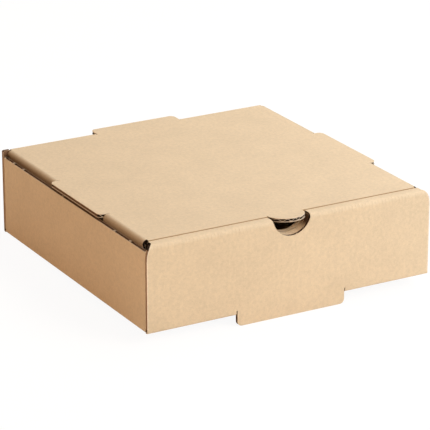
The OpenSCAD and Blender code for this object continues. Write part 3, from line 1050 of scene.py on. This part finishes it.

# %% [markdown]
# Painted shade turns the paper towards a dark brown in the folds of the lid, along its
# front crease and round the notch. That shade is a level band that is full at one
# height and fades out above and below it, and it grows a little towards the back of
# the box.

# %% Painted shade band
place = kraft.nodes.new("ShaderNodeSeparateXYZ")
kraft.links.new(where["Object"], place.inputs[0])
top, middle, foot = [given["Band " + part] for part in ("Top", "Middle", "Foot")]
below = math_node(kraft, "SUBTRACT", 1.0, ramp(kraft, place.outputs[2], middle, top))
painted_shade_share = math_node(kraft, "MULTIPLY", below, ramp(kraft, place.outputs[2], foot, middle))
towards_back = math_node(kraft, "MULTIPLY_ADD", place.outputs[1], 1.6, 0.8)
painted_shade_share = math_node(kraft, "MULTIPLY", painted_shade_share, towards_back)
painted_shade_share = math_node(kraft, "MULTIPLY", painted_shade_share, given["Shade Strength"])
painted_shade = kraft.nodes.new("ShaderNodeMix")
painted_shade.data_type = "RGBA"
kraft.links.new(given["Shade Colour"], painted_shade.inputs["B"])
kraft.links.new(painted_shade_share, painted_shade.inputs["Factor"])
kraft.links.new(tint.outputs[0], painted_shade.inputs["A"])
kraft.links.new(painted_shade.outputs["Result"], result["Color"])

# %% Roughness and height
rough = math_node(kraft, "MULTIPLY_ADD", fibre, 0.3, 0.86)
kraft.links.new(rough, result["Roughness"])
height = math_node(kraft, "MULTIPLY", fibre, 0.000045)
for bump_source, depth in ((mottle, 0.00006), (print_share, 0.00003)):
    height = math_node(kraft, "ADD", height, math_node(kraft, "MULTIPLY", bump_source, depth))
kraft.links.new(height, result["Height"])
print("kraft group:", len(kraft.nodes), "nodes")

# %% [markdown]
# Every finish of the box is this group with its own colour and strength, under a dull
# shader, because paper hardly shines.


# %% A paper finish
def kraft_material(name, paper, mottle, flute_print=0.0, shade_strength=0.0, band=(1, 0, -1),
                   painted_shade=(0.10, 0.045, 0.017)):
    """A paper finish with its own colour and strength of grain. Its shade strength turns a
    band to a painted shade colour, most at the band's middle height and not at all at its
    top and foot."""
    material = bpy.data.materials.new(name)
    material.use_nodes = True
    nodes, links = material.node_tree.nodes, material.node_tree.links
    shader = nodes["Principled BSDF"]
    shader.inputs["Specular IOR Level"].default_value = 0.25
    paper_node = nodes.new("ShaderNodeGroup")
    paper_node.node_tree = kraft
    values = {"Paper": (*paper, 1), "Shade Colour": (*painted_shade, 1), "Mottle": mottle,
              "Flute Print": flute_print, "Shade Strength": shade_strength,
              "Band Top": band[0], "Band Middle": band[1], "Band Foot": band[2]}
    for label, value in values.items():
        paper_node.inputs[label].default_value = value
    bump = nodes.new("ShaderNodeBump")
    bump.inputs["Distance"].default_value = 1.0
    links.new(paper_node.outputs["Color"], shader.inputs["Base Color"])
    links.new(paper_node.outputs["Roughness"], shader.inputs["Roughness"])
    links.new(paper_node.outputs["Height"], bump.inputs["Height"])
    links.new(bump.outputs[0], shader.inputs["Normal"])
    return material


# %% Finishes of the liners
brown_paper = (0.728, 0.558, 0.358)
# Painted shade: the fold finish darkens the lower half of the lid's side folds and the top of
# the flaps.
fold_shade_band = (top_z + 0.0012, top_z - 0.0042, top_z - 0.0100)
# Painted shade: the seam finish darkens a narrow band along the lid's front crease.
seam_shade_band = (top_z - 0.00003, top_z - 0.00030, top_z - 0.0040)
liner_finish = kraft_material("kraft_liner", brown_paper, 0.55, flute_print=0.5)
fold_painted_shade_finish = kraft_material("kraft_fold_painted_shade", brown_paper, 0.5, shade_strength=0.95, band=fold_shade_band,
                             painted_shade=(0.135, 0.070, 0.021))
seam_painted_shade_finish = kraft_material("kraft_seam_painted_shade", brown_paper, 0.55, flute_print=0.5, shade_strength=1.4,
                             band=seam_shade_band, painted_shade=(0.26, 0.12, 0.03))

# %% Finishes of the cut edges
# The crushed bands round the notch and the hole are pale as painted light and darken towards
# the top as painted shade.
notch_low = notch_z - notch_r
notch_shade_band = (top_z + 0.010, top_z - 0.006, notch_low + 0.0015)
# The inside of the board is painted very dark, as the shade between the liners.
core_painted_shade_finish = kraft_material("kraft_core_painted_shade", (0.085, 0.041, 0.018), 0.6)
edge_finish = kraft_material("kraft_edge", (0.80, 0.63, 0.44), 0.9)
# The bare medium is brown paper, painted darker as the shade in its hollow.
torn_shaded_finish = kraft_material("kraft_torn_painted_shade", (0.20, 0.106, 0.053), 1.0)
wall_finish = kraft_material("kraft_wall_edge", (0.52, 0.38, 0.25), 0.9)
notch_light_shade_finish = kraft_material("kraft_notch_painted_light_shade", (0.90, 0.69, 0.45), 1.6, shade_strength=1.75,
                              band=notch_shade_band)
end_finish = kraft_material("kraft_raw_end", (0.34, 0.19, 0.10), 1.2)
# The deep finish is painted shade for insides and cut ends in deep gaps.
deep_painted_shade_finish = kraft_material("kraft_deep_painted_shade", (0.035, 0.016, 0.007), 1.6)
print(kraft.users, "finishes share the kraft group")

# %% [markdown]
# Each piece has four slots, with a usual finish for each slot. The table names the
# pieces that differ, with the slots in which they do.

# %% Finish every piece
usual = {LINER: liner_finish, CORE: core_painted_shade_finish, RIM: edge_finish, TORN: torn_shaded_finish}
fold_shade_finishes = {LINER: fold_painted_shade_finish, CORE: deep_painted_shade_finish}
own_finishes = {
    "left_lid_fold": fold_shade_finishes, "right_lid_fold": fold_shade_finishes,
    "left_flap": fold_shade_finishes, "right_flap": fold_shade_finishes,
    "left_wall": {RIM: wall_finish}, "right_wall": {RIM: wall_finish},
    "front_wall": {TORN: end_finish}, "back_wall": {TORN: end_finish, RIM: wall_finish},
    "front_roll": {CORE: deep_painted_shade_finish}, "ear_painted_shade": {CORE: torn_shaded_finish},
    "lid_front_crease": {LINER: seam_painted_shade_finish, CORE: deep_painted_shade_finish},
    "notch_band": {RIM: notch_light_shade_finish}, "tuck_band": {RIM: notch_light_shade_finish},
}
for piece in made_pieces:
    finishes = usual | own_finishes.get(piece.name, {})
    for index in (LINER, CORE, RIM, TORN):
        piece.data.materials.append(finishes[index])
for node, name in (("tray", "front_wall"), ("lid", "lid_panel")):
    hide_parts(node)
print(len(made_pieces), "pieces finished")

# %% [markdown]
# ## Floor, light and camera
# The box stands on the foot tab and its back edge, so the floor slopes a little in
# the frame of the box. The camera sees the floor mostly as plain white light, while
# the box gets only what such a pale floor would send back. Lamps strong enough to make
# the floor look white would bleach the board.

# %% Floor
floor_half = 4
slope = math.atan2(-foot_z, base_back - front_y)
bm = bmesh.new()
bmesh.ops.create_grid(bm, x_segments=2, y_segments=2, size=floor_half)
mesh = bpy.data.meshes.new("floor")
bmesh.ops.transform(bm, verts=bm.verts, matrix=(
    Matrix.Translation((0, base_back, -hair)) @ Matrix.Rotation(slope, 4, "X")))
bm.to_mesh(mesh)
bm.free()
floor = bpy.data.objects.new("floor", mesh)
bpy.context.scene.collection.objects.link(floor)
print(f"floor sloped by {math.degrees(slope):.2f} degrees")

# %% Floor finish
glow_strength = 1.055
glow_share = 0.88
white = bpy.data.materials.new("white_floor")
white.use_nodes = True
nodes, links = white.node_tree.nodes, white.node_tree.links
nodes["Principled BSDF"].inputs["Base Color"].default_value = (0.82, 0.73, 0.62, 1)
nodes["Principled BSDF"].inputs["Roughness"].default_value = 0.9
path_kind = nodes.new("ShaderNodeLightPath")
glow = nodes.new("ShaderNodeEmission")
glow.inputs["Color"].default_value = (1, 1, 1, 1)
glow.inputs["Strength"].default_value = glow_strength
blend_shader = nodes.new("ShaderNodeMixShader")
seen = nodes.new("ShaderNodeMath")
seen.operation = "MULTIPLY"
seen.inputs[1].default_value = glow_share
links.new(path_kind.outputs["Is Camera Ray"], seen.inputs[0])
links.new(seen.outputs[0], blend_shader.inputs["Fac"])
links.new(nodes["Principled BSDF"].outputs[0], blend_shader.inputs[1])
links.new(glow.outputs[0], blend_shader.inputs[2])
links.new(blend_shader.outputs[0], nodes["Material Output"].inputs["Surface"])
mesh.materials.append(white)

# %% [markdown]
# The backdrop is white to the camera and in reflections. What lights the box is a much
# weaker and slightly warm sky. The Light Path node tells those rays apart.

# %% World
world = bpy.data.worlds.new("studio")
bpy.context.scene.world = world
world.use_nodes = True
nodes, links = world.node_tree.nodes, world.node_tree.links
sky = nodes["Background"]
sky.inputs["Color"].default_value = (1, 0.955, 0.915, 1)
sky.inputs["Strength"].default_value = 0.285
backdrop = nodes.new("ShaderNodeBackground")
backdrop.inputs["Color"].default_value = (1, 1, 1, 1)
pick = nodes.new("ShaderNodeMixShader")
rays = nodes.new("ShaderNodeLightPath")
either = nodes.new("ShaderNodeMath")
either.operation = "MAXIMUM"
links.new(rays.outputs["Is Camera Ray"], either.inputs[0])
links.new(rays.outputs["Is Glossy Ray"], either.inputs[1])
links.new(either.outputs[0], pick.inputs["Fac"])
links.new(sky.outputs[0], pick.inputs[1])
links.new(backdrop.outputs[0], pick.inputs[2])
links.new(pick.outputs[0], nodes["World Output"].inputs["Surface"])

# %% [markdown]
# One large lamp at the right front lights the front wall, and a weaker one above fills
# the lid. Two tinted lamps stand for what the studio's walls send back: warm on the
# left wall, and cool on the right of the front.


# %% Lamps
def soft_lamp(name, place, target, size, power, colour):
    """A square area lamp that looks at a point."""
    data = bpy.data.lights.new(name, "AREA")
    data.shape = "SQUARE"
    data.size = size
    data.energy = power
    data.color = colour
    lamp = bpy.data.objects.new(name, data)
    lamp.location = place
    lamp.rotation_euler = (Vector(target) - Vector(place)).to_track_quat("-Z", "Y").to_euler()
    bpy.context.scene.collection.objects.link(lamp)
    print(name, "lamp:", power, "W from a square of", size, "m")


soft_lamp("key", (1.0, -1.5, 1.25), (0, 0, 0.03), 1.2, 33.5, (1, 0.99, 0.98))
soft_lamp("top", (0.6, 0.15, 0.9), (0, 0, 0.07), 0.8, 6.1, (0.94, 0.95, 1))
soft_lamp("left_fill", (-1.8, -0.3, 0.5), (0, 0, 0.03), 1.4, 8.7, (1, 0.50, 0.19))
soft_lamp("right_fill", (0.7, -0.5, 0.32), (0.1, -0.1, 0.03), 0.4, 1.7, (0.18, 0.50, 1))

# %% [markdown]
# The camera stands where the photo's perspective puts it: a long lens, seen from the
# left front and from above. The lens was worked out in pixels of the frame, which the
# width of the sensor turns into millimetres.

# %% Camera
lens_pixels = 2613.9
frame_pixels = 430
camera_tilt = 20.449
camera_turn = 29.481
camera_data = bpy.data.cameras.new("camera")
camera_data.sensor_width = 36
camera_data.lens = camera_data.sensor_width * lens_pixels / frame_pixels
camera = bpy.data.objects.new("camera", camera_data)
camera.location = (-1.0013, -1.7773, 0.7935)
camera.rotation_euler = (math.radians(90 - camera_tilt), 0, math.radians(-camera_turn))
bpy.context.scene.collection.objects.link(camera)
bpy.context.scene.camera = camera
bpy.context.scene.view_settings.view_transform = "Standard"
print(f"camera lens {camera_data.lens:.0f} mm")
